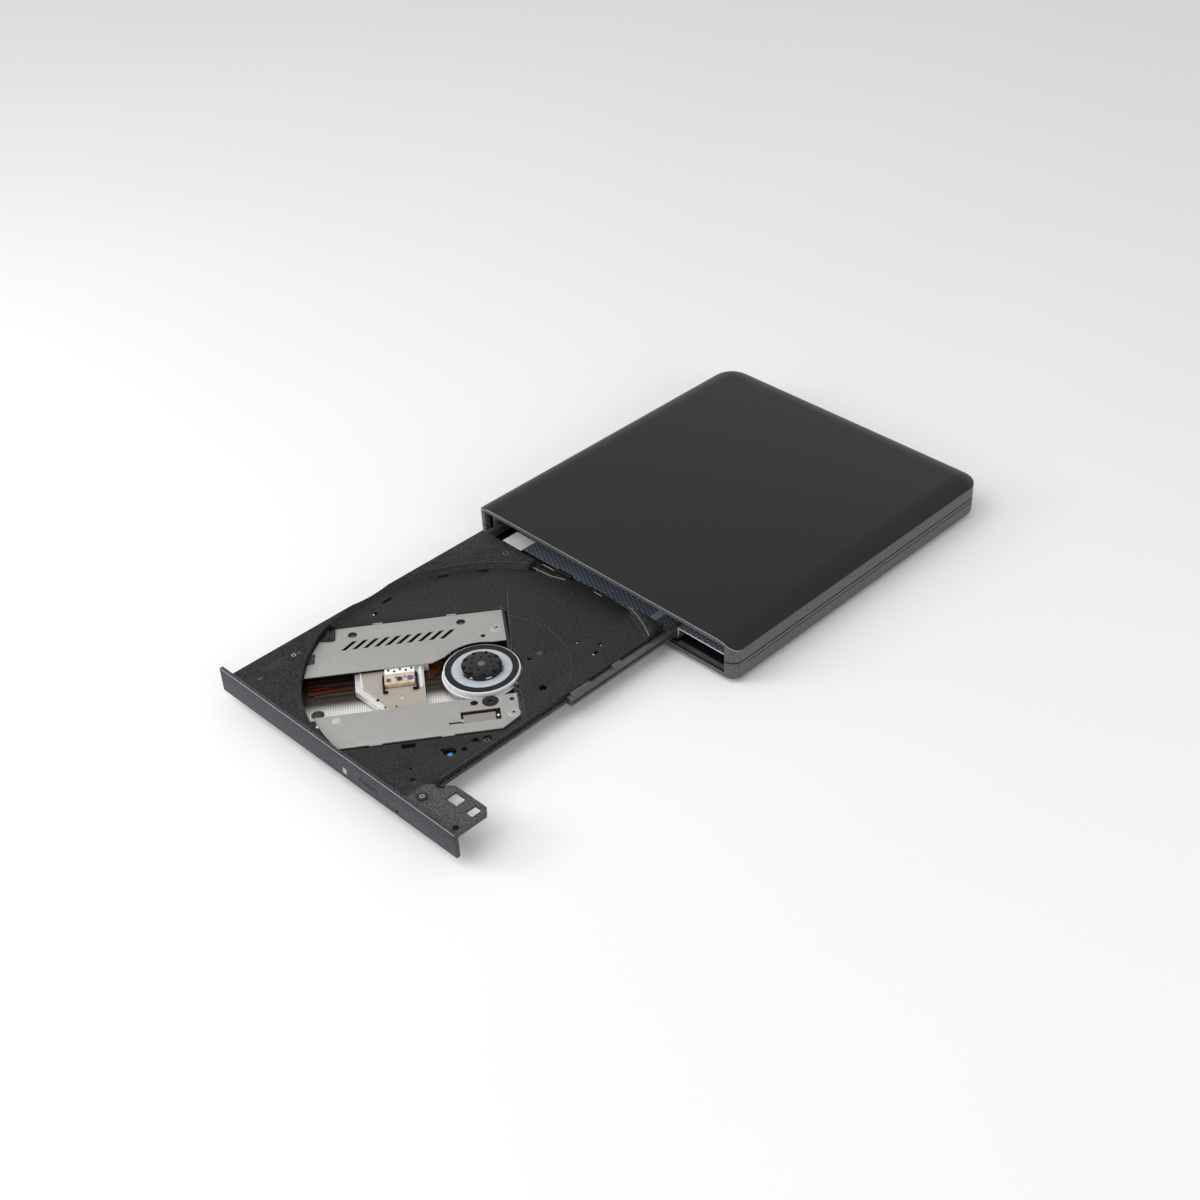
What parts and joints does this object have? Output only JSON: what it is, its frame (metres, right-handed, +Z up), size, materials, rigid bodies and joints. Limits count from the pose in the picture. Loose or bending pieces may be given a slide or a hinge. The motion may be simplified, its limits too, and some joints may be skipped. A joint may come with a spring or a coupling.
{
  "type": "external blu-ray drive",
  "caption": "Slim rectangular external disc drive with rounded case, opened sliding tray, spindle hub, disc recess, slanted pickup track and front bezel with eject button.",
  "frame": {"origin": "middle of the whole object's box, tray open, on the table", "axes": "+Z up, the tray opens towards -Y, +X to the right seen from the front"},
  "size_m": [0.14, 0.283, 0.0184],
  "materials": {
    "bezel_plastic": "fine texture, blue-black",
    "blue_black_film": "dotted film",
    "bronze": "sintered",
    "chip_plastic": "moulded",
    "connector_plastic": "moulded",
    "dark_plastic": "moulded",
    "flex_film": "polyimide",
    "frame_plastic": "glass filled",
    "green_board": "solder mask",
    "lens_glass": "coated",
    "pickup_metal": "die cast",
    "polished_steel": "ground",
    "rail_metal": "dark coated",
    "rubber_black": "matte",
    "screw_steel": "plain",
    "sheet_steel": "zinc coated",
    "shell_plastic": "fine satin black",
    "socket_metal": "nickel",
    "tray_plastic": "matte black",
    "turntable_metal": "turned, pale",
    "white_plastic": "moulded, ivory"
  },
  "bodies": {
    "case": {"bottom_shell": "shell_plastic", "top_shell": "shell_plastic", "rubber_feet": "rubber_black", "shell_screws": "screw_steel", "drive_screws": "screw_steel", "bridge_board": "green_board", "circuit_chips": "chip_plastic", "usb_socket": "socket_metal", "sata_plug": "connector_plastic", "drive_connector": "connector_plastic", "base_pan": "sheet_steel", "drive_cover": "sheet_steel", "cover_screws": "screw_steel", "floor_film": "blue_black_film", "main_board": "green_board", "left_guide_rail": "dark_plastic", "right_guide_rail": "dark_plastic", "lock_pin": "polished_steel", "plunger_housing": "dark_plastic", "eject_spring": "screw_steel", "tray_flex_cable": "flex_film"},
    "tray_unit": {"tray": "tray_plastic", "bezel": "bezel_plastic", "tray_bottom_plate": "sheet_steel", "tray_screws": "screw_steel", "tray_board": "green_board", "eject_switch": "dark_plastic", "status_lamp": "white_plastic", "lock_solenoid": "screw_steel", "latch_pivot": "screw_steel", "latch_spring": "screw_steel", "traverse_frame": "frame_plastic", "damper_grommets": "rubber_black", "left_cover_plate": "sheet_steel", "right_cover_plate": "sheet_steel", "plate_screws": "screw_steel", "guide_rods": "polished_steel", "stepper_motor": "sheet_steel", "spindle_motor_base": "sheet_steel", "spindle_bearing": "bronze", "pickup_flex": "flex_film"},
    "left_rail": {"left_slide_rail": "rail_metal"},
    "right_rail": {"right_slide_rail": "rail_metal"},
    "plunger": {"eject_plunger": "white_plastic"},
    "latch": {"latch_lever": "dark_plastic"},
    "button": {"eject_button": "bezel_plastic"},
    "feed_screw": {"lead_screw": "polished_steel"},
    "spindle": {"turntable": "turntable_metal", "disc_seat_ring": "rubber_black", "disc_hub": "dark_plastic", "spindle_shaft": "polished_steel"},
    "claw_1": {"chuck_claw_1": "dark_plastic"},
    "claw_2": {"chuck_claw_2": "dark_plastic"},
    "claw_3": {"chuck_claw_3": "dark_plastic"},
    "pickup": {"pickup_body": "pickup_metal", "pickup_cover": "sheet_steel", "rack_follower": "white_plastic"},
    "lens": {"lens_holder": "white_plastic", "objective_lenses": "lens_glass"}
  },
  "joints": [
    {"name": "tray_slide", "type": "slide", "parent": "case", "child": "tray_unit", "axis": [0, 1, 0], "range_m": [0, 0.129]},
    {"name": "left_rail_slide", "type": "slide", "parent": "case", "child": "left_rail", "axis": [0, 1, 0], "range_m": [0, 0.0645]},
    {"name": "right_rail_slide", "type": "slide", "parent": "case", "child": "right_rail", "axis": [0, 1, 0], "range_m": [0, 0.0645]},
    {"name": "plunger_slide", "type": "slide", "parent": "case", "child": "plunger", "axis": [0, 1, 0], "range_m": [0, 0.0025]},
    {"name": "latch_turn", "type": "hinge", "parent": "tray_unit", "child": "latch", "pos_m": [0.0405, -0.1352, 0.011], "axis": [0, 0, 1], "range_deg": [0, 12], "stiffness_Nm_per_rad": 0.002},
    {"name": "button_press", "type": "slide", "parent": "tray_unit", "child": "button", "axis": [0, 1, 0], "range_m": [0, 0.0005], "stiffness_N_per_m": 300},
    {"name": "spindle_turn", "type": "hinge", "parent": "tray_unit", "child": "spindle", "pos_m": [0.0028, -0.0752, 0.01], "axis": [0, 0, 1], "continuous": true},
    {"name": "pickup_slide", "type": "slide", "parent": "tray_unit", "child": "pickup", "axis": [0.6, 0.8, 0], "range_m": [-0.028, 0.006]},
    {"name": "feed_screw_turn", "type": "hinge", "parent": "tray_unit", "child": "feed_screw", "pos_m": [0.0052, -0.1145, 0.008], "axis": [0.6, 0.8, 0], "range_deg": [-3370, 730]},
    {"name": "lens_focus", "type": "slide", "parent": "pickup", "child": "lens", "axis": [0, 0, 1], "range_m": [-0.0005, 0.0008], "stiffness_N_per_m": 40},
    {"name": "claw_1_press", "type": "slide", "parent": "spindle", "child": "claw_1", "axis": [-0.866, -0.5, 0], "range_m": [0, 0.0005], "stiffness_N_per_m": 60},
    {"name": "claw_2_press", "type": "slide", "parent": "spindle", "child": "claw_2", "axis": [0.866, -0.5, 0], "range_m": [0, 0.0005], "stiffness_N_per_m": 60},
    {"name": "claw_3_press", "type": "slide", "parent": "spindle", "child": "claw_3", "axis": [0, 1, 0], "range_m": [0, 0.0005], "stiffness_N_per_m": 60}
  ],
  "couplings": [
    {"joint": "left_rail_slide", "follows": "tray_slide", "ratio": 0.5},
    {"joint": "right_rail_slide", "follows": "tray_slide", "ratio": 0.5},
    {"joint": "plunger_slide", "follows": "tray_slide", "ratio": 0.019},
    {"joint": "feed_screw_turn", "follows": "pickup_slide", "rad_per_m": 2094.4}
  ]
}
